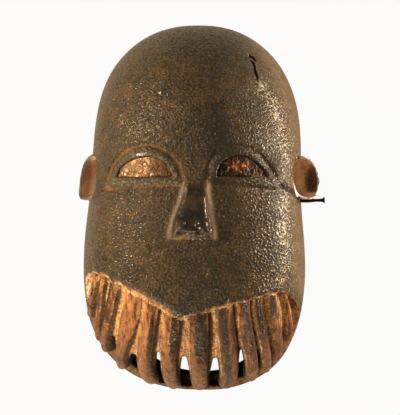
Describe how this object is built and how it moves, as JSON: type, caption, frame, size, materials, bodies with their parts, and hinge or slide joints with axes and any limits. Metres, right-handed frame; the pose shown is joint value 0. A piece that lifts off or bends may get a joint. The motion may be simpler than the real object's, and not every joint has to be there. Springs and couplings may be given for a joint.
{
  "type": "face mask",
  "caption": "Carved wooden face mask: a deep domed shell with half-moon eyes inlaid with copper sheet, a wedge nose, cupped ears and a pierced mouth of upright slats.",
  "frame": {"origin": "middle of the bounding box in plan, on the plane of the flat back rim", "axes": "+Z out of the face, +Y to the crown, +X to the viewer's right"},
  "size_m": [0.1956, 0.3, 0.1409],
  "materials": {
    "carved_wood": "dark brown patina, polished where it is worn, with ochre pigment in the mouth and the eye lines",
    "copper_sheet": "crumpled copper-coloured sheet, half bright",
    "iron": "dark, dull iron"
  },
  "bodies": {
    "root": {"mask_body": "carved_wood", "eye_inlay_left": "copper_sheet", "eye_inlay_right": "copper_sheet", "side_nail": "iron"}
  },
  "joints": []
}
